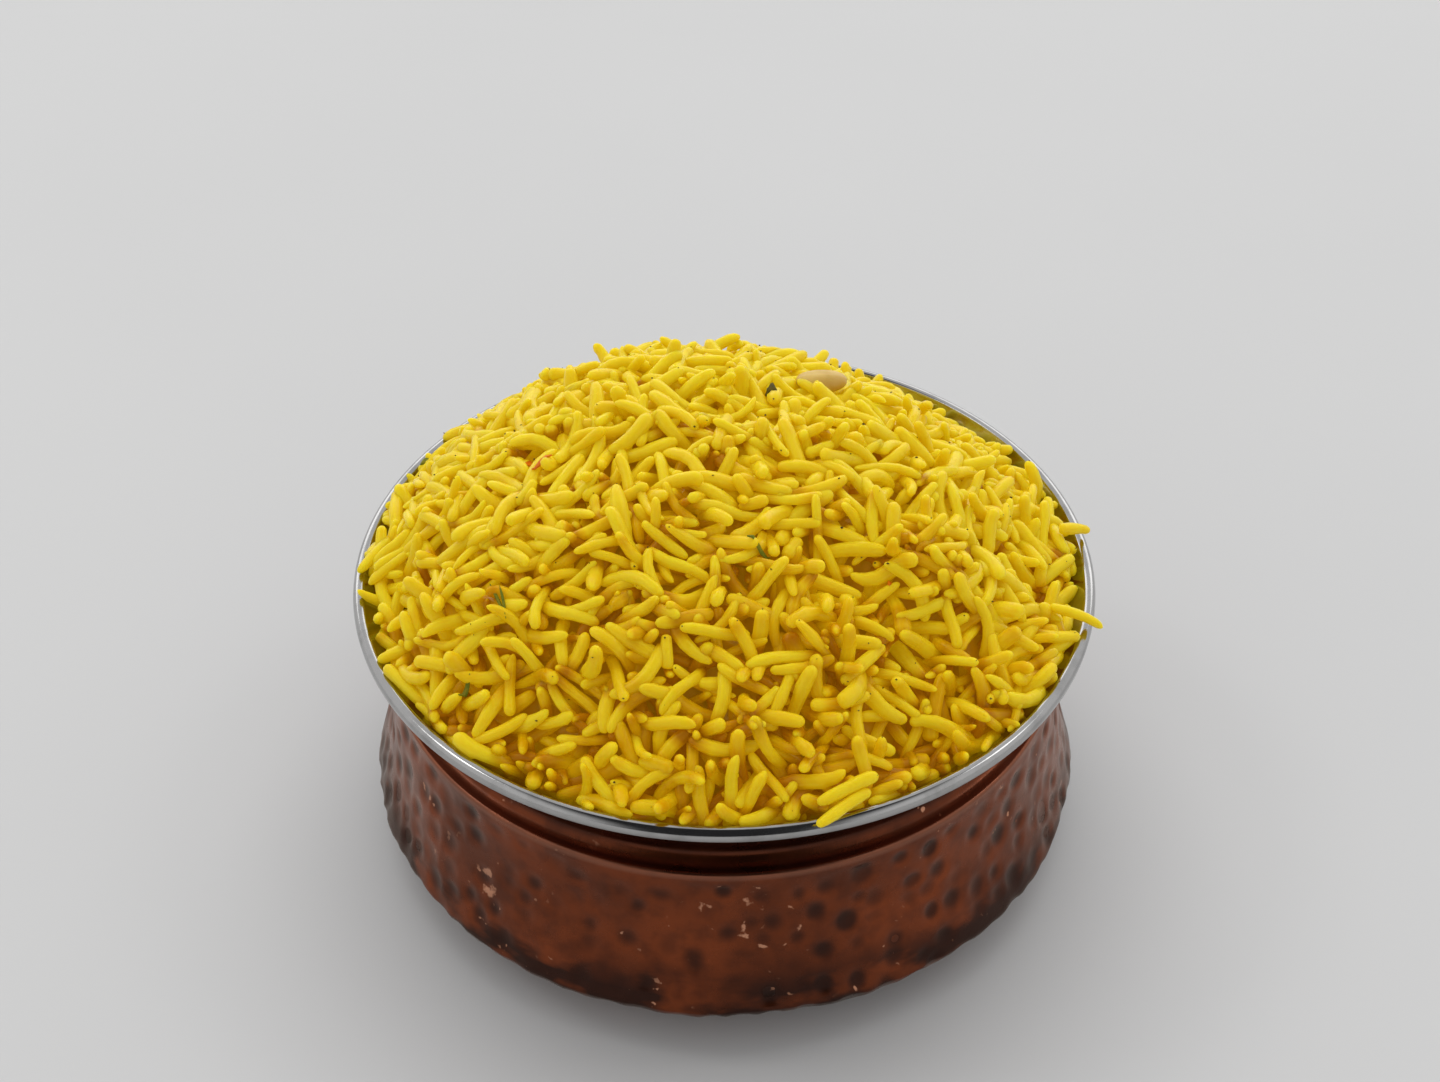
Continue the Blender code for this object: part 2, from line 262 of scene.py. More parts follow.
def rampNode(tree, value, low, high, start=0.0, end=1.0, smooth=False):  # low to high becomes start to end
    made = treeNode(tree, "ShaderNodeMapRange", {
        "Value": value, "From Min": low, "From Max": high, "To Min": start, "To Max": end})
    if smooth:
        made.interpolation_type = "SMOOTHSTEP"
    return made.outputs["Result"]


def mixColor(tree, mask, low, high):  # low and high are colours or sockets
    made = treeNode(tree, "ShaderNodeMix", data_type="RGBA")
    low, high = ((*end, 1) if isinstance(end, (tuple, list)) else end for end in (low, high))
    fillSockets(tree, made, {0: mask, 6: low, 7: high})
    return made.outputs[2]


def objectPlace(tree):
    return treeNode(tree, "ShaderNodeTexCoord").outputs["Object"]


def objectNoise(tree, scale, detail, place=None):
    made = treeNode(tree, "ShaderNodeTexNoise", {
        "Vector": place or objectPlace(tree), "Scale": scale, "Detail": detail})
    return made.outputs["Fac"]


def fineBump(tree, scale, detail, strength, height):
    made = treeNode(tree, "ShaderNodeBump", {
        "Height": objectNoise(tree, scale, detail), "Strength": strength, "Distance": height})
    return made.outputs["Normal"]


def shaderGroup(name, **inputs):  # a group with one mask as its output
    group = bpy.data.node_groups.new(name, "ShaderNodeTree")
    for key, default in inputs.items():
        kind = "NodeSocketVector" if isinstance(default, tuple) else "NodeSocketFloat"
        group.interface.new_socket(key, in_out="INPUT", socket_type=kind).default_value = default
    group.interface.new_socket("Mask", in_out="OUTPUT", socket_type="NodeSocketFloat")
    return group, group.nodes.new("NodeGroupInput").outputs, group.nodes.new("NodeGroupOutput").inputs


def placeGroup(tree, group, **values):
    return treeNode(tree, "ShaderNodeGroup", values, node_tree=group).outputs["Mask"]


def blotchGroup():  # soft blotches from noise, with their own scale and contrast
    group, start, end = shaderGroup("softBlotches", Scale=100.0, Low=0.4, High=0.6, Detail=3.0)
    noise = objectNoise(group, start["Scale"], start["Detail"])
    group.links.new(rampNode(group, noise, start["Low"], start["High"], smooth=True), end["Mask"])
    return group


def wornGroup():  # broken marks round a place on the surface: a spot, or a ring where Ring is over 0
    group, start, end = shaderGroup(
        "wornMark", Place=(0, 0, 0), Ring=0.0, Reach=0.004, Cover=0.4, Scale=420.0)
    gap = treeNode(group, "ShaderNodeVectorMath", {0: objectPlace(group), 1: start["Place"]},
                   operation="DISTANCE").outputs["Value"]
    off = mathNode(group, "ABSOLUTE", mathNode(group, "SUBTRACT", gap, start["Ring"]))
    near = mathNode(group, "SUBTRACT", 1.0, mathNode(group, "DIVIDE", off, start["Reach"]), clamp=True)
    noise = objectNoise(group, start["Scale"], 4.0)
    worn = mathNode(group, "ADD", noise, product(group, near, start["Cover"]))
    group.links.new(rampNode(group, worn, 0.84, 0.94), end["Mask"])
    return group


blotches = blotchGroup()
wornMarks = wornGroup()


def blotch(tree, scale, low, high, detail=3.0):
    return placeGroup(tree, blotches, Scale=scale, Low=low, High=high, Detail=detail)


cameraSettings = {  # degrees and metres, from a point on the bowl's axis just below the rim's top
    "distance": 0.396, "below": 0.0016, "elevation": 40.35,
    "pitch": 39.68, "yaw": -0.14, "roll": -0.32, "lens": 52.0,
}
lightSettings = {  # metres and watts: a soft light overhead, a wide one behind, and two small ones
    "over": {"place": (0.0, 2.2, 5.2), "size": (6.0, 5.0), "power": 117.0, "mirrored": False},
    "back": {"place": (0.0, 5.6, 2.6), "size": (12.0, 2.6), "power": 122.0, "mirrored": True},
    "left": {"place": (-3.6, 0.6, 4.2), "size": (1.3, 1.1), "power": 16.0, "mirrored": True},
    "right": {"place": (3.6, 0.9, 4.4), "size": (1.3, 1.1), "power": 12.0, "mirrored": True},
}
worldSettings = {
    "bright": (0.82, 0.82, 0.82), "dark": (0.03, 0.03, 0.032), "seen": (0.66, 0.66, 0.66), "fill": 0.77,
    "darkBelow": (0.36, 0.14), "darkWithin": (0.70, 0.30),  # where the dark front begins and is full
}
floorSettings = {
    "size": 30.0, "color": (0.62, 0.62, 0.62), "uneven": 0.97, "roughness": 0.75, "specular": 0.25,
}


def makeCamera():
    c = cameraSettings
    elevation, pitch, yaw, roll = (math.radians(c[k]) for k in ("elevation", "pitch", "yaw", "roll"))
    aim = rimHeight - c["below"]
    place = Vector((0, -c["distance"] * math.cos(elevation), aim + c["distance"] * math.sin(elevation)))
    ahead = Vector((math.sin(yaw) * math.cos(pitch), math.cos(yaw) * math.cos(pitch), -math.sin(pitch)))
    right = ahead.cross(Vector((0, 0, 1))).normalized()
    up = right.cross(ahead)
    turnedRight = right * math.cos(roll) + up * math.sin(roll)
    turnedUp = up * math.cos(roll) - right * math.sin(roll)
    camera = bpy.data.objects.new("camera", bpy.data.cameras.new("camera"))
    camera.data.lens = c["lens"]
    camera.data.clip_start = 0.01
    turned = Matrix((turnedRight, turnedUp, -ahead)).transposed().to_4x4()
    camera.matrix_world = Matrix.Translation(place) @ turned
    scene.collection.objects.link(camera)
    scene.camera = camera


def makeLights():
    middle = Vector((0, 0, rimHeight))
    for name, s in lightSettings.items():
        data = bpy.data.lights.new(name + "Light", "AREA")
        data.shape = "RECTANGLE"
        data.size, data.size_y = s["size"]
        data.energy = s["power"]
        lamp = bpy.data.objects.new(name + "Light", data)
        lamp.location = s["place"]
        lamp.visible_camera = False
        lamp.visible_glossy = s["mirrored"]
        lamp.rotation_euler = (middle - Vector(s["place"])).to_track_quat("-Z", "Y").to_euler()
        scene.collection.objects.link(lamp)
    world = bpy.data.worlds.new("studio")
    scene.world = world
    world.use_nodes = True
    tree = world.node_tree
    w = worldSettings
    place = treeNode(tree, "ShaderNodeTexCoord").outputs["Generated"]
    toward = treeNode(tree, "ShaderNodeSeparateXYZ", {"Vector": place}).outputs
    front = rampNode(tree, toward["Y"], *w["darkBelow"], smooth=True)
    aside = rampNode(tree, mathNode(tree, "ABSOLUTE", toward["X"]), *w["darkWithin"], smooth=True)
    rays = treeNode(tree, "ShaderNodeLightPath").outputs
    seen, mirrored = rays["Is Camera Ray"], rays["Is Glossy Ray"]
    unlit = product(tree, product(tree, front, aside), mirrored)
    glow = mixColor(tree, unlit, w["bright"], w["dark"])  # the metal shows a dark room in front of the bowl
    fillSockets(tree, tree.nodes["Background"], {
        "Color": mixColor(tree, seen, glow, w["seen"]),
        "Strength": rampNode(tree, mathNode(tree, "MAXIMUM", seen, mirrored), 0.0, 1.0, w["fill"])})


def makeFloor():
    s = floorSettings
    half = s["size"] / 2
    corners = [(-half, -half, 0), (half, -half, 0), (half, half, 0), (-half, half, 0)]
    floor = newObject("floor", meshFrom("floor", corners, [(0, 1, 2, 3)]))
    material, tree, surface = newMaterial("paleFloor")
    low = [c * s["uneven"] for c in s["color"]]
    fillSockets(tree, surface, {
        "Base Color": mixColor(tree, blotch(tree, 3.0, 0.3, 0.7), low, s["color"]),
        "Roughness": s["roughness"], "Specular IOR Level": s["specular"]})
    floor.data.materials.append(material)


copperShell = {
    "sides": 640, "dentSpacing": 0.0064, "dentJitter": 0.0018, "dentRadius": (0.0023, 0.0034),
    "dentDepth": (0.00026, 0.00072), "ripple": 0.00020, "rippleWaves": 9, "seed": 11,
    "faint": (-115, 40, 0.4),  # the dents fade here: degrees, half width, share
    "dark": (0.026, 0.007, 0.003), "mid": (0.225, 0.046, 0.010), "worn": (0.56, 0.26, 0.15),
    # paintedLightBrown: a lighter brown painted as a highlight on the ledge and as light on the band under
    # the lip
    "paintedLightBrown": (0.30, 0.13, 0.08), "roughness": (0.24, 0.38), "tint": (1.0, 0.90, 0.83, 1), "coat": 0.24,
    "tarnish": 0.55, "dentShade": 0.88, "neckShade": 0.70, "neckBandLight": 0.85, "footDarkening": 0.95,
    "ledgeHighlight": 0.45, "plainBand": 0.0012,  # undented under the shoulder
    "wornSpots": [  # scraped patches and stacking rings: degrees, height, ring, reach, cover
        (-129.7, 0.0232, 0.0, 0.0042, 0.66), (-130.7, 0.0276, 0.0, 0.0028, 0.60),
        (-88.3, 0.0345, 0.0062, 0.0013, 0.31), (-82.8, 0.0305, 0.0050, 0.0013, 0.31),
        (-95.1, 0.0320, 0.0044, 0.0013, 0.30), (-84.9, 0.0360, 0.0, 0.0070, 0.30),
        (-61.2, 0.0272, 0.0, 0.0050, 0.27), (-115.8, 0.0190, 0.0, 0.0070, 0.26),
    ],
}


def hammering(rings, turns, outerCount):  # how far each point of the shell moves, and how deep its dent is
    s = copperShell
    draw = np.random.default_rng(s["seed"])
    along = np.concatenate([[0], np.cumsum(np.linalg.norm(np.diff(rings, axis=0), axis=1))])
    slope = np.gradient(rings, along, axis=0)
    outward = np.stack([slope[:, 1], -slope[:, 0]], 1)
    outside = np.arange(len(rings)) < outerCount
    depth = np.zeros((len(rings), len(turns)))
    shoulder = rimHeight - bowlShape["shoulderDrop"]
    belly = np.nonzero(outside & (rings[:, 1] < shoulder - s["plainBand"]))[0]
    start, end = along[belly[0]], along[belly[-1]]
    rowGap = s["dentSpacing"] * 0.87
    turnGap = math.tau / len(turns)
    for row in range(int((end - start) / rowGap) + 1):
        middle = start + s["plainBand"] + row * rowGap
        ringRadius = np.interp(middle, along, rings[:, 0])
        count = max(1, int(round(math.tau * ringRadius / s["dentSpacing"])))
        for k in range(count):
            here = middle + draw.uniform(-1, 1) * s["dentJitter"]
            turn = (k + 0.5 * (row % 2)) / count * math.tau
            turn += draw.uniform(-1, 1) * s["dentJitter"] / ringRadius
            size = draw.uniform(*s["dentRadius"])
            off = degreesOff(math.degrees(turn), s["faint"][0])
            deep = draw.uniform(*s["dentDepth"])
            deep *= 1 - s["faint"][2] * math.exp(-((off / s["faint"][1]) ** 2))
            stretch = draw.uniform(0.85, 1.3)
            ringPick = np.nonzero((np.abs(along - here) < size * stretch) & outside)[0]
            span = int(size / ringRadius / turnGap) + 1
            turnPick = np.arange(int(turn / turnGap) - span, int(turn / turnGap) + span + 1)
            side = (turnPick * turnGap - turn) * ringRadius
            away = ((along[ringPick, None] - here) / stretch) ** 2 + side[None, :] ** 2
            dent = deep * np.clip(1 - away / size**2, 0, 1) ** 1.5
            where = np.ix_(ringPick, turnPick % len(turns))
            depth[where] = np.maximum(depth[where], dent)
    fade = np.clip((shoulder - 0.0008 - rings[:, 1]) / 0.002, 0, 1)
    fade = fade * np.clip(rings[:, 1] / 0.003, 0, 1) * outside  # the flat spot that it stands on stays flat
    wave = np.zeros_like(depth)
    for _ in range(s["rippleWaves"]):  # slow unevenness of a beaten wall
        around, upDown, phase = draw.integers(3, 19), draw.uniform(60, 260), draw.uniform(0, math.tau)
        wave += np.sin(around * turns[None, :] + upDown * along[:, None] + phase)
    wave *= s["ripple"] / 3
    move = (wave - depth) * fade[:, None]
    return outward[:, :1] * move, outward[:, 1:] * move, depth / s["dentDepth"][1]


def copperMaterial():
    s = copperShell
    material, tree, surface = newMaterial("hammeredCopper")
    height = treeNode(tree, "ShaderNodeSeparateXYZ", {"Vector": objectPlace(tree)}).outputs["Z"]
    ledge = rimHeight - bowlShape["ledgeDrop"]
    tarnished = [c * s["tarnish"] for c in s["mid"]]
    color = mixColor(tree, blotch(tree, 45.0, 0.35, 0.68, 5.0), s["mid"], tarnished)
    fine = product(tree, blotch(tree, 260.0, 0.40, 0.75, 4.0), 0.35)
    dent = treeNode(tree, "ShaderNodeAttribute", attribute_name="mark").outputs["Fac"]
    dentShade = rampNode(tree, dent, 0.12, 0.66, 0.0, s["dentShade"], smooth=True)  # painted shade in the dents
    dentShade = product(tree, dentShade, rampNode(tree, blotch(tree, 38.0, 0.35, 0.60, 2.0), 0.0, 1.0, 0.62))
    neck = rampNode(tree, height, ledge, ledge + 0.002, 0.0, s["neckShade"])  # darker under the rim
    # painted light: a lighter brown band on the neck just under the lip
    litNeckBand = rampNode(tree, height, rimHeight - 0.0116, rimHeight - 0.0098, 0.0, s["neckBandLight"])
    # darker towards the foot, in noisy patches
    low = rampNode(tree, height, 0.0225, 0.015, 0.0, s["footDarkening"])
    smear = treeNode(tree, "ShaderNodeMapping", {"Vector": objectPlace(tree), "Scale": (1.0, 1.0, 2.6)})
    footPatches = rampNode(tree, objectNoise(tree, 70.0, 3.0, smear.outputs["Vector"]), 0.40, 0.56)
    footPatches = product(tree, product(tree, low, rampNode(tree, height, 0.006, 0.010)), footPatches)
    flecks = product(tree, blotch(tree, 420.0, 0.68, 0.73, 2.0), blotch(tree, 60.0, 0.48, 0.62, 2.0))
    wall = np.concatenate([bellyLine(44), footLine(46)])[::-1]
    for degrees, up, ring, reach, cover in s["wornSpots"]:
        turn, radius = math.radians(degrees), float(np.interp(up, wall[:, 1], wall[:, 0]))
        spot = (radius * math.cos(turn), radius * math.sin(turn), up)
        mark = placeGroup(tree, wornMarks, Place=spot, Ring=ring, Reach=reach, Cover=cover)
        flecks = mathNode(tree, "MAXIMUM", flecks, mark)
    overLedge = mathNode(tree, "ABSOLUTE", mathNode(tree, "SUBTRACT", height, ledge - 0.0006))
    litBandDull = rampNode(tree, overLedge, 0.0012, 0.0004, 0.0, s["ledgeHighlight"])  # painted highlight: the ledge is painted a lighter brown
    for mask, paint in ((fine, "dark"), (dentShade, "dark"), (neck, "dark"), (litNeckBand, "paintedLightBrown"), (footPatches, "dark"),
                        (flecks, "worn"), (litBandDull, "paintedLightBrown")):
        color = mixColor(tree, mask, color, s[paint])
    rough = rampNode(tree, blotch(tree, 130.0, 0.3, 0.7, 4.0), 0.0, 1.0, *s["roughness"])
    litBandDull = product(tree, mathNode(tree, "MAXIMUM", litBandDull, litNeckBand), 0.65)
    fillSockets(tree, surface, {
        "Base Color": color, "Roughness": mathNode(tree, "MAXIMUM", rough, litBandDull), "Metallic": 1.0,
        "Specular Tint": s["tint"], "Coat Weight": s["coat"], "Coat Roughness": 0.22,
        "Normal": fineBump(tree, 900.0, 3.0, 0.12, 0.0002)})
    return material


def makeCopper():
    outer = np.concatenate([flareLine(16), shoulderLine(8), bellyLine(44), footLine(46)])
    inner = insetLine(guideLine(3, 2, 4), bowlShape["copperWall"])
    shell = np.concatenate([outer[::-1], inner])  # from the axis out, up the outside and down the inside
    mesh = turnedMesh("copperShell", shell, copperShell["sides"],
                      lambda rings, turns: hammering(rings, turns, len(outer) - 1))
    copper = newObject("copperShell", mesh)
    copper.data.materials.append(copperMaterial())
    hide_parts("copper_shell")
    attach(copper, "root")


steelLiner = {
    "sides": 288, "color": (0.42, 0.415, 0.41), "scratched": (0.33, 0.325, 0.32), "roughness": (0.09, 0.18),
}


def steelMaterial():
    s = steelLiner
    material, tree, surface = newMaterial("linerSteel")
    fillSockets(tree, surface, {
        "Base Color": mixColor(tree, blotch(tree, 180.0, 0.45, 0.75, 4.0), s["color"], s["scratched"]),
        "Roughness": rampNode(tree, blotch(tree, 90.0, 0.3, 0.7, 3.0), 0.0, 1.0, *s["roughness"]),
        "Metallic": 1.0, "Normal": fineBump(tree, 260.0, 4.0, 0.05, 0.0003)})
    return material


def makeLiner():
    profile = np.concatenate([linerLine(10, walls=0)[::-1], beadLine(22)[::-1], linerLine(10)])
    mesh = turnedMesh("steelLiner", profile, steelLiner["sides"])
    liner = newObject("steelLiner", mesh)
    liner.data.materials.append(steelMaterial())
    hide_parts("steel_liner")
    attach(liner, "root")


heapShape = {  # metres: the outline of the heap, over which only the tips of grains stand
    "rise": 0.0298, "power": 2.4, "shift": (-0.0045, 0.0010), "edgeRadius": 0.0705, "edgeDrop": 0.0030,
    "lump": 0.0007,
    "hollows": [  # dips between clumps of grains, and clumps with a negative depth: x, y, radius, depth
        (-0.0065, -0.032, 0.0050, 0.0030), (-0.013, -0.009, 0.0050, 0.0018), (0.008, -0.038, 0.0060, 0.0024),
        (0.022, -0.026, 0.0065, 0.0040), (0.030, -0.033, 0.0060, 0.0034), (0.038, -0.037, 0.0060, 0.0030),
        (-0.004, -0.050, 0.0065, 0.0034), (0.014, -0.051, 0.0050, 0.0018), (0.031, -0.052, 0.0060, 0.0026),
        (-0.028, -0.028, 0.0050, 0.0016), (-0.036, 0.001, 0.0060, 0.0018), (0.031, -0.006, 0.0050, 0.0020),
        (0.042, -0.019, 0.0100, -0.0018), (-0.045, -0.020, 0.0120, -0.0010),
    ],
    "edgeGaps": [  # where the heap's edge keeps back from the rim: degrees, half width, how far in
        (-117, 9, 0.0042), (-54, 9, 0.0050), (-127, 8, 0.0022), (-167, 6, 0.0035), (-11, 6, 0.0040),
        (20, 30, 0.0015), (55, 30, 0.0030),
    ],
}


def heapTop(x, y):  # height of the heap's outline over (x, y)
    s = heapShape
    angle = np.arctan2(y, x)
    edge = np.full_like(x, s["edgeRadius"])
    for degrees, wide, inwards in s["edgeGaps"]:
        off = degreesOff(np.degrees(angle), degrees)
        edge = edge - inwards * np.exp(-((off / wide) ** 2))
    reach = np.hypot(x, y) / edge
    for _ in range(4):
        inward = np.clip(1 - reach**2, 0, 1)
        reach = np.hypot(x - s["shift"][0] * inward, y - s["shift"][1] * inward) / edge
    lumps = np.sin(3 * angle + 5 * reach) + np.sin(5 * angle - 7 * reach + 2)
    base = rimHeight - s["edgeDrop"]
    height = base + (s["rise"] + s["edgeDrop"]) * (1 - reach ** s["power"])
    height += s["lump"] * lumps * np.clip(1 - reach**2, 0, 1)
    for middleX, middleY, radius, deep in s["hollows"]:
        height = height - deep * np.exp(-((x - middleX) ** 2 + (y - middleY) ** 2) / radius**2)
    return height


def heapGrid(half=0.078, count=313):  # the heap's height and slope, read off once on a square grid
    line = np.linspace(-half, half, count)
    x, y = np.meshgrid(line, line, indexing="ij")
    height = heapTop(x, y)
    step = line[1] - line[0]
    return half, step, np.stack([height, *np.gradient(height, step)], -1)


heapRead = heapGrid()


def heapHere(x, y):  # height and unit normal over (x, y), between the grid's points
    half, step, table = heapRead
    u = np.clip((x + half) / step, 0, len(table) - 1.001)
    v = np.clip((y + half) / step, 0, len(table) - 1.001)
    i, j = u.astype(int), v.astype(int)
    u, v = (u - i)[..., None], (v - j)[..., None]
    low = table[i, j] * (1 - v) + table[i, j + 1] * v
    high = table[i + 1, j] * (1 - v) + table[i + 1, j + 1] * v
    found = low * (1 - u) + high * u
    normal = np.stack([-found[..., 1], -found[..., 2], np.ones_like(found[..., 0])], -1)
    return found[..., 0], normal / np.linalg.norm(normal, axis=-1, keepdims=True)


def heapNormal(x, y):
    return heapHere(x, y)[1]


riceGrains = {
    "layers": (0.0002, 0.0028, 0.0056), "perLayer": (860, 820, 720),
    "length": (0.0098, 0.0134), "thickness": (0.0020, 0.0030), "bend": (0.0002, 0.0036), "swerve": 0.0022,
    "brokenShare": 0.07, "brokenLength": (0.0045, 0.0075), "curved": 0.0007, "hooked": 0.0015,  # least bends
    "jitter": 0.0007, "alike": 1.2, "unlike": 0.9,  # how far neighbours share a heading
    "tilt": (0.48, 0.62), "rounds": 110, "settle": 0.00002, "poke": (0.0044, 0.0058), "pokePower": 1.15,
    "shell": 0.0094, "slope": 1.15, "firmness": 0.70, "nearest": 0.42, "rimMargin": 0.0014, "aroundNut": 0.6,
    "seed": 5, "sides": 8, "flatness": 0.82, "pointed": 1.7, "wobble": 0.045, "taper": 0.10,
    "crowded": (2.8, 3.0, 3.6),  # cover over a grain at which the painted crevice shade begins, less where it lies open, and the span
    # pale to mid is random tone with painted shade; deep is painted shade in the crevices
    "pale": (0.67, 0.56, 0.020), "mid": (0.62, 0.350, 0.002), "deep": (0.34, 0.110, 0.001),
    "cloud": 0.18, "toneShare": 0.30, "sunkShare": 0.85, "glow": (0.86, 0.58, 0.0), "glowStrength": 0.17,
    "roughness": 0.36, "wet": 0.20, "softness": 0.75, "softReach": 0.0038, "softTint": (1.0, 0.76, 0.24),
    "specular": 0.29, "shine": (1.0, 0.88, 0.42, 1),
    "overRim": [  # grains laid over the rim one by one: tail and tip from the middle of the rim's top, and bend
        ((0.0600, -0.0178, 0.0033), (0.0684, -0.0204, 0.0012), 0.0008),
        ((0.0236, -0.0628, 0.0024), (0.0156, -0.0688, 0.0012), 0.0002),
        ((0.0249, -0.0609, 0.0042), (0.0158, -0.0652, 0.0026), 0.0003),
        ((-0.0640, 0.0030, 0.0024), (-0.0684, -0.0040, 0.0010), 0.0004),
        ((0.0645, 0.0045, 0.0034), (0.0697, 0.0066, 0.0014), 0.0003),
    ],
}
toppings = {  # metres: x, y, heading in degrees, length and width
    "leaf": [(0.0098, 0.0184, 20, 0.0040, 0.0024), (0.0085, 0.0190, 75, 0.0030, 0.0005)],
    "shreds": [
        (-0.0392, -0.0308, 118, 0.0064, 0.0006), (-0.0383, -0.0312, 104, 0.0058, 0.0005),
        (-0.0449, -0.0411, 60, 0.0036, 0.0010), (-0.0616, 0.0267, 22, 0.0058, 0.0010),
        (-0.0590, 0.0290, 40, 0.0040, 0.0014), (0.0060, -0.0260, 160, 0.0042, 0.0010),
        (0.0330, -0.0400, 35, 0.0040, 0.0008),
    ],
    "redBits": [
        (-0.0360, 0.0025, 80, 0.0030, 0.0014), (-0.0330, -0.0020, 30, 0.0042, 0.0010),
        (0.0288, -0.0261, 10, 0.0012, 0.0010),
    ],
    "specks": 230, "speckSize": (0.00014, 0.00036), "seed": 8,
}
toppingTones = {  # two tones and a roughness
    "leaf": ((0.13, 0.10, 0.010), (0.06, 0.045, 0.006), 0.6),
    "shreds": ((0.14, 0.17, 0.006), (0.24, 0.22, 0.010), 0.6),
    "redBits": ((0.72, 0.13, 0.004), (0.80, 0.22, 0.004), 0.3),
    "specks": ((0.060, 0.040, 0.010), (0.16, 0.09, 0.012), 0.6),
}


def smoothStep(value):
    value = np.clip(value, 0, 1)
    return value * value * (3 - 2 * value)


def grainLine(share, length, bend, swerve):  # local centre-line: share runs from -1 to 1
    along = share[None, :] * length[:, None] / 2
    out = bend[:, None] * (1 / 3 - share[None, :] ** 2)
    side = swerve[:, None] * (share[None, :] ** 3 - 0.6 * share[None, :])
    return np.stack([out, side, along], -1)


def ballLine(sizes):  # the middles of the six balls that stand for each grain while the heap settles
    inset = 1 - sizes[:, 1] / sizes[:, 0] * 0.75
    return grainLine(np.linspace(-1, 1, 6), sizes[:, 0] * inset, sizes[:, 2], sizes[:, 3])


def looseness(x, y):  # from 0 behind the crown, where the grains lie close, to 1 on the front slope
    slope = 0.4 + 0.6 * smoothStep((0.030 - y - 0.3 * np.abs(x)) / 0.072)
    return slope * smoothStep(np.hypot(x - 0.008, y - 0.035) / 0.034)


def turnPair(first, second, angle):  # two upright directions, turned in their own plane
    c, s = np.cos(angle)[:, None], np.sin(angle)[:, None]
    return first * c + second * s, second * c - first * s


def startGrains(draw):
    s = riceGrains
    middles, turns, sizes = [], [], []
    golden = math.pi * (3 - math.sqrt(5))
    for depth, count in zip(s["layers"], s["perLayer"]):
        k = np.arange(count)
        steps = np.linspace(0, 0.985, 200)  # spread evenly over the sloping surface
        slope = s["slope"] * steps ** (heapShape["power"] - 1)
        covered = np.cumsum(steps * np.sqrt(1 + slope**2))
        reach = np.interp((k + 0.5) / count * covered[-1], covered, steps) * heapShape["edgeRadius"]
        angle = k * golden + depth * 9000
        x = reach * np.cos(angle) + draw.normal(0, s["jitter"], count)
        y = reach * np.sin(angle) + draw.normal(0, s["jitter"], count)
        normal = heapNormal(x, y)
        middles.append(np.stack([x, y, heapTop(x, y)], -1) - normal * depth)
        drift = np.sin(x * 62 + 1.3) + np.sin(y * 71 + x * 23) + np.sin(x * 30 - y * 55 + 2.1)
        heading = drift * s["alike"] + draw.normal(0, s["unlike"], count)
        tilt = draw.normal(0, 1, count) * np.interp(looseness(x, y), (0, 1), s["tilt"])
        outward = np.stack([np.cos(angle), np.sin(angle), np.zeros(count)], -1)
        flat = np.cross(normal, outward)
        flat /= np.linalg.norm(flat, axis=1)[:, None]
        level = turnPair(flat, np.cross(flat, normal), heading)[0]
        along, out = turnPair(level, normal, tilt)
        spin = draw.uniform(0, math.tau, count)  # which way the grain bends
        bent = turnPair(out, np.cross(along, out), spin)[0]
        turns.append(np.stack([bent, np.cross(along, bent), along], -1))
        broken = draw.random(count) < s["brokenShare"]
        length = np.where(broken, draw.uniform(*s["brokenLength"], count), draw.uniform(*s["length"], count))
        bend = draw.uniform(0, 1, count) ** 1.4 * (s["bend"][1] - s["bend"][0]) + s["bend"][0]
        thickness = draw.uniform(*s["thickness"], count)
        swerve = draw.normal(0, s["swerve"] / 2, count)
        slender = (length / s["length"][1]) ** 2  # short grains bend less
        sizes.append(np.stack([length, thickness, bend * slender, swerve * slender], -1))
    return np.concatenate(middles), np.concatenate(turns), np.concatenate(sizes)


def linerPush(points, clear):  # moves points that are nearer than clear to the liner's face or rim
    line = np.concatenate([linerLine(8)[:9][::-1], beadLine(7)[:7]])
    radius = np.hypot(points[:, 0], points[:, 1])
    flat = np.stack([radius, points[:, 2]], -1)
    best = np.full(len(points), 1e9)
    nearest = np.zeros_like(flat)
    facing = np.zeros_like(flat)
    for a, b in zip(line, line[1:]):
        run = b - a
        share = np.clip(((flat - a) @ run) / (run @ run), 0, 1)
        spot = a + share[:, None] * run
        away = np.linalg.norm(flat - spot, axis=1)
        nearer = away < best
        best = np.where(nearer, away, best)
        nearest[nearer] = spot[nearer]
        normal = np.array([-run[1], run[0]]) / np.linalg.norm(run)
        facing[nearer] = normal
    side = ((flat - nearest) * facing).sum(1)
    signed = np.where(side >= 0, best, -best)
    move = np.clip(clear - signed, 0, None) * (radius > line[0, 0] - 0.012)
    direction = np.where(best[:, None] > 1e-6, (flat - nearest) / np.maximum(best, 1e-6)[:, None], facing)
    direction = np.where((side < 0)[:, None], -direction, direction)
    flat = flat + direction * move[:, None]
    scale = flat[:, 0] / np.maximum(radius, 1e-6)
    return np.stack([points[:, 0] * scale, points[:, 1] * scale, flat[:, 1]], -1)


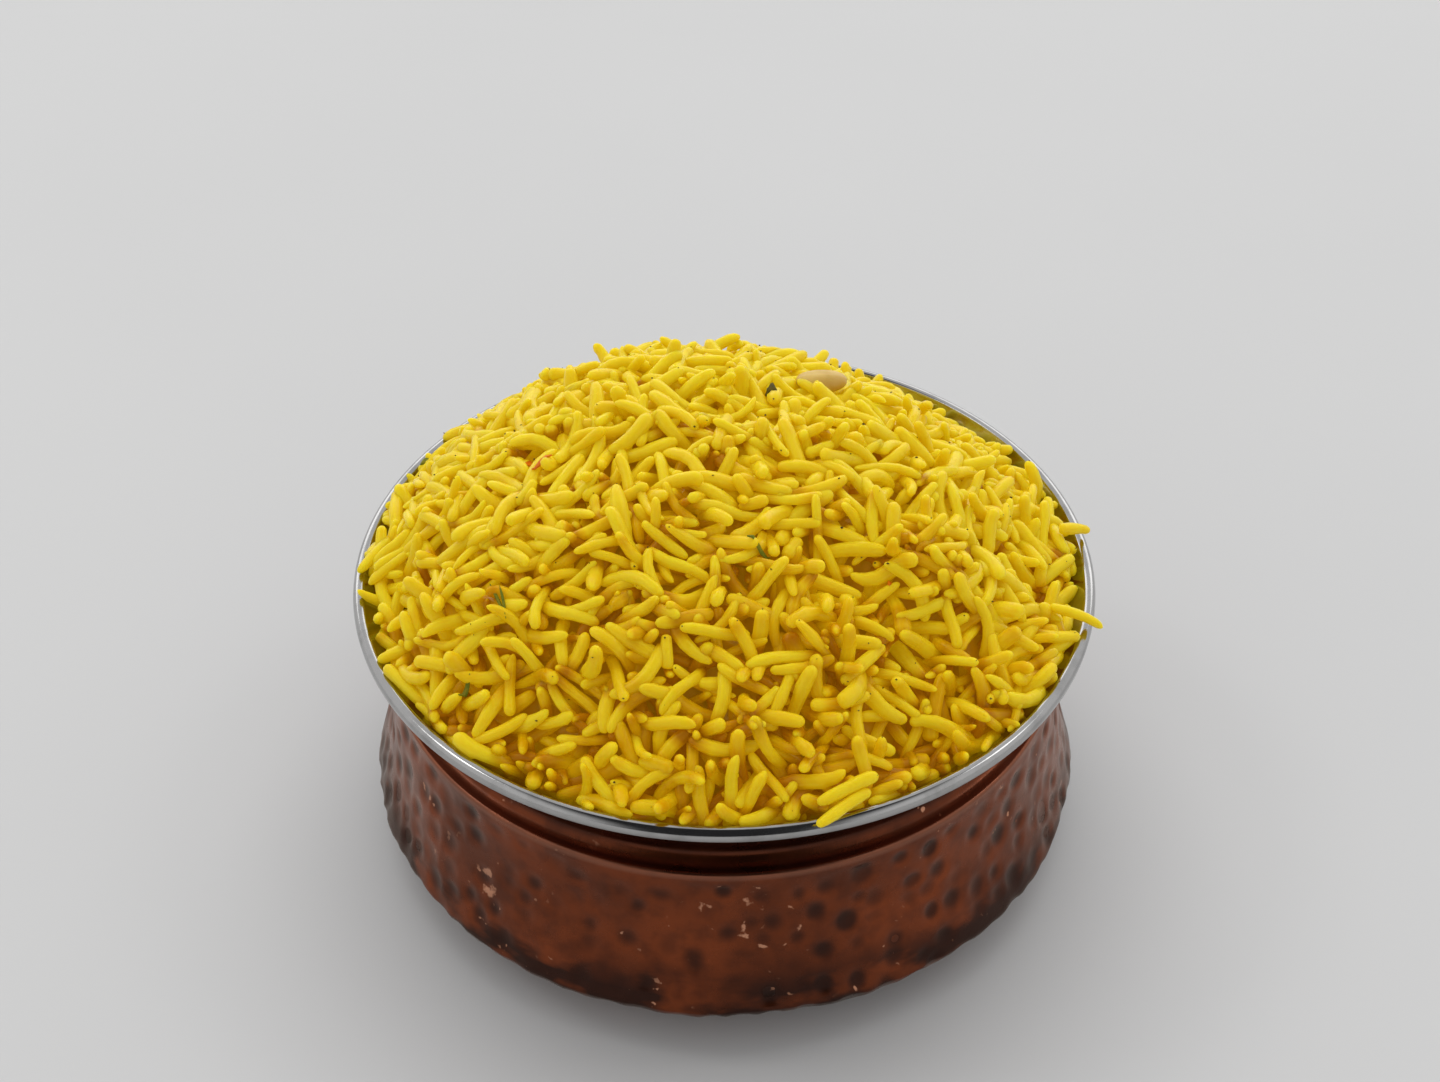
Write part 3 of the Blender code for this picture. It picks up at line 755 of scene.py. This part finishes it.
def settleGrains(middles, turns, sizes, draw):
    s = riceGrains
    ball = np.array([0.72, 0.95, 1, 1, 0.95, 0.72])[None, :] * sizes[:, 1:2] / 2 * s["firmness"]
    rest = ballLine(sizes)
    rest -= rest.mean(1, keepdims=True)
    owner = np.repeat(np.arange(len(sizes)), rest.shape[1])
    radius = ball.reshape(-1)
    reach = np.interp(looseness(middles[:, 0], middles[:, 1]), (0, 1), s["poke"])
    poke = np.repeat(draw.uniform(0, 1, len(sizes)) ** s["pokePower"] * reach, rest.shape[1])
    nutLow, nutHigh = (np.array(corner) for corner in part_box("nut_piece"))
    nutMiddle, nutHalf = (nutLow + nutHigh) / 2, (nutHigh - nutLow) / 2
    spots = middles[:, None] + np.einsum("nij,nkj->nki", turns, rest)
    for turn in range(s["rounds"]):
        flat = spots.reshape(-1, 3)
        if turn % 5 == 0:
            pairs = closePairs(flat, 0.0034)
            pairs = pairs[owner[pairs[:, 0]] != owner[pairs[:, 1]]]
        height, normal = heapHere(flat[:, 0], flat[:, 1])
        flat = flat - normal * s["settle"]
        gap = flat[pairs[:, 0]] - flat[pairs[:, 1]]
        away = np.linalg.norm(gap, axis=1)
        wanted = radius[pairs[:, 0]] + radius[pairs[:, 1]]
        over = np.clip(wanted - away, 0, None) * s["nearest"] / np.maximum(away, 1e-6)
        push = gap * over[:, None]
        for axis in range(3):
            flat[:, axis] += np.bincount(pairs[:, 0], push[:, axis], len(flat))
            flat[:, axis] -= np.bincount(pairs[:, 1], push[:, axis], len(flat))
        below = (height - flat[:, 2]) * normal[:, 2]
        flat += normal * np.clip(below + radius - s["shell"], 0, None)[:, None]
        flat -= normal * np.clip(radius - poke - below, 0, None)[:, None] * 0.6
        away = (flat - nutMiddle) / (nutHalf * s["aroundNut"] + radius[:, None])
        inside = np.clip(1 / np.maximum(np.linalg.norm(away, axis=1), 0.05), 1, None)
        flat = nutMiddle + (flat - nutMiddle) * np.minimum(inside, 1.5)[:, None]
        flat = linerPush(flat, radius + 0.0001)
        out = np.hypot(flat[:, 0], flat[:, 1])
        flat[:, :2] *= np.minimum(1, (rimRadius - s["rimMargin"] - radius * 0.4) / out)[:, None]
        spots = flat.reshape(spots.shape)
        middles = spots.mean(1)
        spread = np.einsum("nki,nkj->nij", spots - middles[:, None], rest)
        left, _, right = np.linalg.svd(spread)
        flip = np.sign(np.linalg.det(left @ right))
        left[:, :, 2] *= flip[:, None]
        turns = left @ right
        spots = middles[:, None] + np.einsum("nij,nkj->nki", turns, rest)
    return middles, turns


def crowding(points, reach=0.0050):  # how much lies over each point: 0 in the open, about 5 under the grains
    pairs = closePairs(points, reach)
    normal = heapNormal(points[:, 0], points[:, 1])
    gap = points[pairs[:, 1]] - points[pairs[:, 0]]
    away = np.maximum(np.linalg.norm(gap, axis=1), 1e-6)
    near = 1 - away / reach
    upwards = np.clip((gap * normal[pairs[:, 0]]).sum(1) / away - 0.25, 0, None) * near
    downwards = np.clip(-(gap * normal[pairs[:, 1]]).sum(1) / away - 0.25, 0, None) * near
    return np.bincount(pairs[:, 0], upwards, len(points)) + np.bincount(pairs[:, 1], downwards, len(points))


def riceMaterial():
    s = riceGrains
    material, tree, surface = newMaterial("lemonRice")
    tone = treeNode(tree, "ShaderNodeAttribute", attribute_name="tone").outputs["Fac"]
    deep = treeNode(tree, "ShaderNodeAttribute", attribute_name="creviceShade").outputs["Fac"]
    cloud = product(tree, blotch(tree, 420.0, 0.35, 0.70, 2.0), s["cloud"])
    blend = mathNode(tree, "ADD", cloud, product(tree, tone, s["toneShare"]))
    # painted shade: covered parts of the grains go to mid, then deep
    blend = mathNode(tree, "ADD", blend, deep, clamp=True)
    sunk = product(tree, product(tree, deep, deep), s["sunkShare"])
    wet = blotch(tree, 300.0, 0.45, 0.65, 2.0)
    fillSockets(tree, surface, {
        "Base Color": mixColor(tree, sunk, mixColor(tree, blend, s["pale"], s["mid"]), s["deep"]),
        "Emission Color": mixColor(tree, sunk, s["glow"], s["deep"]),
        "Emission Strength": s["glowStrength"],  # painted glow: emission that stands in for light passed through the grains
        "Roughness": rampNode(tree, wet, 0.0, 1.0, s["roughness"], s["wet"]),
        "Subsurface Weight": s["softness"], "Subsurface Radius": s["softTint"],
        "Subsurface Scale": s["softReach"], "Specular IOR Level": s["specular"], "Specular Tint": s["shine"],
        "Normal": fineBump(tree, 1400.0, 2.0, 0.15, 0.0002)})
    return material


def grainTree():  # centre-lines to grains: an oval section swept along each, closed at both tips
    tree, start, end = newTree("riceGrainBuilder", Sides=("Int", 8), Flatness=("Float", 0.88),
                               Unevenness=("Float", 0.00012), Seed=("Int", 3), Finish=("Material", None))
    get = start.outputs

    def add(kind, inputs=None, **settings):
        return treeNode(tree, kind, inputs, **settings).outputs[0]

    curve = add("GeometryNodeMeshToCurve", {"Mesh": get["Geometry"]})
    spin = add("GeometryNodeInputNamedAttribute", {"Name": "spin"}, data_type="FLOAT")
    tilted = add("GeometryNodeSetCurveTilt", {"Curve": curve, "Tilt": spin})
    ring = add("GeometryNodeCurvePrimitiveCircle", {"Resolution": get["Sides"], "Radius": 1.0}, mode="RADIUS")
    squash = add("ShaderNodeCombineXYZ", {"X": 1.0, "Y": get["Flatness"], "Z": 1.0})
    oval = add("GeometryNodeTransform", {"Geometry": ring, "Scale": squash})
    thick = add("GeometryNodeInputNamedAttribute", {"Name": "thick"}, data_type="FLOAT")
    swept = add("GeometryNodeCurveToMesh", {
        "Curve": tilted, "Profile Curve": oval, "Scale": thick, "Fill Caps": True})
    noise = add("ShaderNodeTexNoise", {"W": get["Seed"], "Scale": 330.0, "Detail": 1.0},
                noise_dimensions="4D")
    centred = add("ShaderNodeMath", {0: noise, 1: 0.5}, operation="SUBTRACT")
    amount = add("ShaderNodeMath", {0: centred, 1: get["Unevenness"]}, operation="MULTIPLY")
    normal = add("GeometryNodeInputNormal")
    offset = add("ShaderNodeVectorMath", {0: normal, "Scale": amount}, operation="SCALE")
    moved = add("GeometryNodeSetPosition", {"Geometry": swept, "Offset": offset})
    real = add("GeometryNodeRealizeInstances", {"Geometry": moved})
    smooth = add("GeometryNodeSetShadeSmooth", {"Geometry": real})
    painted = add("GeometryNodeSetMaterial", {"Geometry": smooth, "Material": get["Finish"]})
    tree.links.new(painted, end.inputs["Geometry"])
    return tree


def laidGrains():  # the listed grains laid over the rim, as middles, frames and sizes
    middles, turns, sizes = [], [], []
    for tail, tip, bend in riceGrains["overRim"]:
        tail, tip = np.array(tail) + (0, 0, rimHeight), np.array(tip) + (0, 0, rimHeight)
        along = (tip - tail) / np.linalg.norm(tip - tail)
        side = np.cross(along, (0, 0, 1))
        out = np.cross(side / np.linalg.norm(side), along)
        middles.append((tail + tip) / 2)
        turns.append(np.stack([out, np.cross(along, out), along], -1))
        sizes.append((np.linalg.norm(tip - tail) + 0.0012, 0.0023, bend, 0.0004))
    return np.array(middles), np.array(turns), np.array(sizes)


def shapeGrains(draw):  # every grain's centre-line and half thickness along it
    s = riceGrains
    middles, turns, sizes = startGrains(draw)
    middles, turns = settleGrains(middles, turns, sizes, draw)
    laid = laidGrains()
    middles, turns, sizes = (np.concatenate(pair) for pair in zip((middles, turns, sizes), laid))
    tip = np.array([1, 0.98, 0.935, 0.86, 0.70, 0.36])
    share = np.concatenate([-tip, [0], tip[::-1]])
    blunt = np.array([0.10, 0.44, 0.72, 0.90, 0.99, 1.02])
    sharp = np.array([0.08, 0.28, 0.50, 0.69, 0.88, 0.99])
    keen = draw.random((2, len(sizes), 1)) ** s["pointed"]  # how pointed each end is
    ends = [blunt * (1 - k) + sharp * k for k in keen]
    swell = np.concatenate([ends[0], np.ones((len(sizes), 1)), ends[1][:, ::-1]], 1)
    local = grainLine(share, sizes[:, 0], sizes[:, 2], sizes[:, 3])
    local -= ballLine(sizes).mean(1, keepdims=True)
    lines = middles[:, None] + np.einsum("nij,nkj->nki", turns, local)
    wobble = 1 + draw.normal(0, s["wobble"], lines.shape[:2])
    taper = draw.normal(0, s["taper"], len(sizes))[:, None] * share[None, :]
    thick = swell * sizes[:, 1:2] / 2 * wobble * (1 + taper)
    return lines, thick, sizes


def makeGrains(finish):
    s = riceGrains
    draw = np.random.default_rng(s["seed"])
    lines, thick, sizes = shapeGrains(draw)
    steps = lines.shape[1]
    over = crowding(lines.reshape(-1, 3)).reshape(thick.shape)
    # painted light: the looseness measure that tilts the grains also paints the crown paler and the front
    # slope darker
    frontShade = looseness(lines[..., 0], lines[..., 1])
    covered, lessOpen, span = s["crowded"]
    # painted shade: the more lies over a point, the deeper and more orange its colour
    creviceShade = smoothStep((over - covered + lessOpen * frontShade) / span)
    # random tone per grain, plus painted shade on the front slope
    tone = np.repeat(draw.random(len(sizes))[:, None], steps, 1) * 0.8 + 0.5 * frontShade
    spin = np.repeat(draw.uniform(0, math.pi, len(sizes))[:, None], steps, 1)
    long = sizes[:, 0] > s["brokenLength"][1]
    curved = sizes[:, 2] > s["curved"]
    hooked = sizes[:, 2] > s["hooked"]
    kinds = {
        "straightGrains": long & ~curved, "curvedGrains": long & curved & ~hooked,
        "hookedGrains": long & hooked, "brokenGrains": ~long,
    }
    tree = grainTree()
    pieces = []
    for name, chosen in kinds.items():
        picked = np.nonzero(chosen)[0]
        count = len(picked)
        base = np.arange(count)[:, None] * steps + np.arange(steps - 1)[None, :]
        edges = np.stack([base, base + 1], -1).reshape(-1, 2)
        mesh = meshFrom(name, lines[picked].reshape(-1, 3), edges=edges)
        for key, values in (("thick", thick), ("creviceShade", creviceShade), ("tone", tone), ("spin", spin)):
            addPointValues(mesh, key, values[picked].reshape(-1))
        piece = newObject(name, mesh)
        runTree(piece, tree, Sides=s["sides"], Flatness=s["flatness"], Finish=finish)
        pieces.append(piece)
        print(name, count, "grains", sum(len(p.vertices) - 2 for p in piece.data.polygons), "triangles")
    return pieces, (lines.reshape(-1, 3), thick.reshape(-1), over.reshape(-1))


riceCore = {"sides": 180, "rings": 56, "depth": 0.0056, "relief": 0.0009}


def makeCore(finish):
    s = riceCore
    below = linerLine(8, gaps=2)[5:]
    edge = below[0]
    radii = np.linspace(0, edge[0], s["rings"])
    top = np.stack([radii, np.full(s["rings"], edge[1])], 1)

    def follow(rings, turns):  # the top follows the heap, under the grains
        x, y = rings[:, :1] * np.cos(turns), rings[:, :1] * np.sin(turns)
        isTop = (np.arange(len(rings)) < s["rings"] - 1)[:, None]
        share = np.clip((edge[0] - rings[:, :1]) / 0.006, 0, 1)
        normal = heapNormal(x, y)
        relief = np.sin(x * 2100 + 3 * np.sin(y * 700)) + np.sin(y * 1900 + 3 * np.sin(x * 800))
        wanted = heapTop(x, y) - s["depth"] / np.maximum(normal[..., 2], 0.5) + s["relief"] * relief / 2
        height = (edge[1] + np.maximum(wanted - edge[1], -0.001) * share) - rings[:, 1:]
        return np.zeros_like(height), np.where(isTop, height, 0), None

    mesh = turnedMesh("riceCore", np.concatenate([top, below]), s["sides"], follow)
    pole = len(mesh.vertices) - 2
    mesh.vertices[pole].co.z = float(heapTop(np.zeros(1), np.zeros(1))[0]) - s["depth"]
    addPointValues(mesh, "tone", np.full(len(mesh.vertices), 0.8))
    # the core under the grains is painted almost fully in the crevice shade
    addPointValues(mesh, "creviceShade", np.full(len(mesh.vertices), 0.9))
    core = newObject("riceCore", mesh)
    core.data.materials.append(finish)
    return core


def surfaceOver(x, y, skin):  # how high the grains stand at (x, y)
    points, thick, _ = skin
    gap = (points[:, 0] - x) ** 2 + (points[:, 1] - y) ** 2
    room = np.clip(thick**2 - gap, 0, None)
    tops = np.where(room > 0, points[:, 2] + np.sqrt(room), -1)
    return max(tops.max(), float(heapTop(np.array([x]), np.array([y]))[0]) - riceCore["depth"])


def toppingMaterial(name, kind):
    fresh, dry, roughness = toppingTones[kind]
    material, tree, surface = newMaterial(name)
    fillSockets(tree, surface, {
        "Base Color": mixColor(tree, blotch(tree, 900.0, 0.35, 0.65, 2.0), fresh, dry),
        "Roughness": roughness, "Specular IOR Level": 0.2,
        "Normal": fineBump(tree, 2600.0, 2.0, 0.4, 0.0001)})
    return material


def stripMesh(name, places, skin, thickness=0.00025, steps=9):  # thin wavy strips that lie on the grains
    points, faces = [], []
    for x, y, heading, length, width in places:
        heading = math.radians(heading)
        ahead = np.array([math.cos(heading), math.sin(heading)])
        aside = np.array([-ahead[1], ahead[0]])
        spots = [np.array([x, y]) + ahead * length * t for t in np.linspace(-0.5, 0.5, steps)]
        heights = [surfaceOver(*spot, skin) for spot in spots]
        heights = np.convolve(np.pad(heights, 2, mode="edge"), np.ones(5) / 5, "valid")  # over the small gaps
        first = len(points)
        for t, height in zip(np.linspace(-0.5, 0.5, steps), heights):
            half = width / 2 * max(0.12, math.cos(math.pi * t) ** 0.6)
            bow = aside * 0.10 * length * (t * t - 0.1)
            for side, lift in ((-1, 0), (-1, 1), (1, 1), (1, 0)):
                flat = np.array([x, y]) + ahead * length * t + aside * side * half + bow
                curl = 0.25 * half * math.sin(9 * t + x * 900)
                points.append((*flat, height + 0.00005 + lift * thickness + side * curl))
        for k in range(steps - 1):
            for c in range(4):
                a, b = first + k * 4 + c, first + k * 4 + (c + 1) % 4
                faces.append((a, b, b + 4, a + 4))
        faces.append((first, first + 3, first + 2, first + 1))
        last = first + (steps - 1) * 4
        faces.append((last, last + 1, last + 2, last + 3))
    mesh = meshFrom(name, points, faces)
    mesh.shade_smooth()
    return mesh


def makeStrips(skin):
    finishes = {
        "herbLeaf": ("leaf", "driedLeaf"), "herbShreds": ("shreds", "greenHerb"),
        "redBits": ("redBits", "chilliSkin"),
    }
    pieces = []
    for name, (kind, finish) in finishes.items():
        piece = newObject(name, stripMesh(name, toppings[kind], skin))
        piece.data.materials.append(toppingMaterial(finish, kind))
        pieces.append(piece)
    return pieces


def makeSpecks(skin):  # ground spice, stuck to the open side of the grains
    t = toppings
    draw = np.random.default_rng(t["seed"])
    points, thick, over = skin
    open_ = np.nonzero((over < 1.4) & (points[:, 2] > rimHeight - 0.001))[0]
    picked = draw.choice(open_, t["specks"], replace=False)
    corners = np.array([(1, 0, 0), (-1, 0, 0), (0, 1, 0), (0, -1, 0), (0, 0, 1), (0, 0, -1)], float)
    sides = [(0, 2, 4), (2, 1, 4), (1, 3, 4), (3, 0, 4), (2, 0, 5), (1, 2, 5), (3, 1, 5), (0, 3, 5)]
    spots, faces = [], []
    for k, index in enumerate(picked):
        up = heapNormal(points[index, 0], points[index, 1]) + draw.normal(0, 0.35, 3)
        middle = points[index] + up / np.linalg.norm(up) * thick[index] * 0.97
        size = draw.uniform(*t["speckSize"]) * draw.uniform(0.5, 1, 3)
        spots += list(middle + corners * size + draw.normal(0, 0.00004, (6, 3)))
        faces += [[c + 6 * k for c in side] for side in sides]
    mesh = meshFrom("spiceSpecks", spots, faces)
    mesh.materials.append(toppingMaterial("groundSpice", "specks"))
    return newObject("spiceSpecks", mesh)


nutShape = {  # shares of the solid's own box
    "around": 40, "along": 28, "bend": 0.16, "flatBelow": 0.75, "groove": 0.05,
    "tan": (0.60, 0.37, 0.07), "pale": (0.70, 0.48, 0.12), "roughness": 0.34, "sunk": 0.0027,
}


def makeNut():  # half a nut, bent a little and flat underneath, in the box of its solid
    s = nutShape
    low, high = (np.array(corner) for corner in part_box("nut_piece"))
    middle, half = (low + high) / 2, (high - low) / 2
    rise = np.linspace(0, math.pi, s["along"] + 1)[1:-1]
    turn = np.arange(s["around"]) * math.tau / s["around"]
    lengthwise = np.cos(rise)[:, None] * np.ones_like(turn)[None, :]
    section = np.sin(rise)[:, None] ** 0.85
    across = section * np.cos(turn) + s["bend"] * (lengthwise**2 - 0.4)
    crest = np.sin(turn)
    upright = section * np.where(crest < 0, crest * s["flatBelow"], crest)
    upright -= s["groove"] * section * np.exp(-((np.cos(turn) / 0.16) ** 2)) * (crest > 0)
    points = np.stack([lengthwise, across, upright], -1).reshape(-1, 3)
    bend = s["bend"] * 0.6
    points = np.concatenate([points, [[1, bend, 0], [-1, bend, 0]]]) * half * (0.97, 0.92, 0.97)
    points += middle - (0, 0, s["sunk"])
    faces = [(f[0], *f[:0:-1]) for f in ringFaces(len(rise), s["around"])]  # the rings run the other way here
    mesh = meshFrom("nut", points, faces)
    mesh.shade_smooth()
    nut = newObject("nut", mesh)
    material, tree, surface = newMaterial("splitNut")
    fillSockets(tree, surface, {
        "Base Color": mixColor(tree, blotch(tree, 260.0, 0.35, 0.68, 3.0), s["pale"], s["tan"]),
        "Roughness": s["roughness"], "Subsurface Weight": 0.2, "Subsurface Radius": (1.0, 0.6, 0.3),
        "Subsurface Scale": 0.001, "Normal": fineBump(tree, 900.0, 3.0, 0.15, 0.0002)})
    nut.data.materials.append(material)
    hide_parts("nut_piece")
    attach(nut, "root")


makeCamera()
makeLights()
makeFloor()
print("stage ready")
makeCopper()
makeLiner()
print("bowl ready")
riceFinish = riceMaterial()
core = makeCore(riceFinish)
grains, skin = makeGrains(riceFinish)
print("rice ready")
makeNut()
toppingPieces = makeStrips(skin) + [makeSpecks(skin)]
print("toppings ready")
for piece in [core, *grains, *toppingPieces]:
    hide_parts("rice_heap")
    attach(piece, "root")

scene.view_settings.view_transform = "Standard"
scene.view_settings.look = "None"
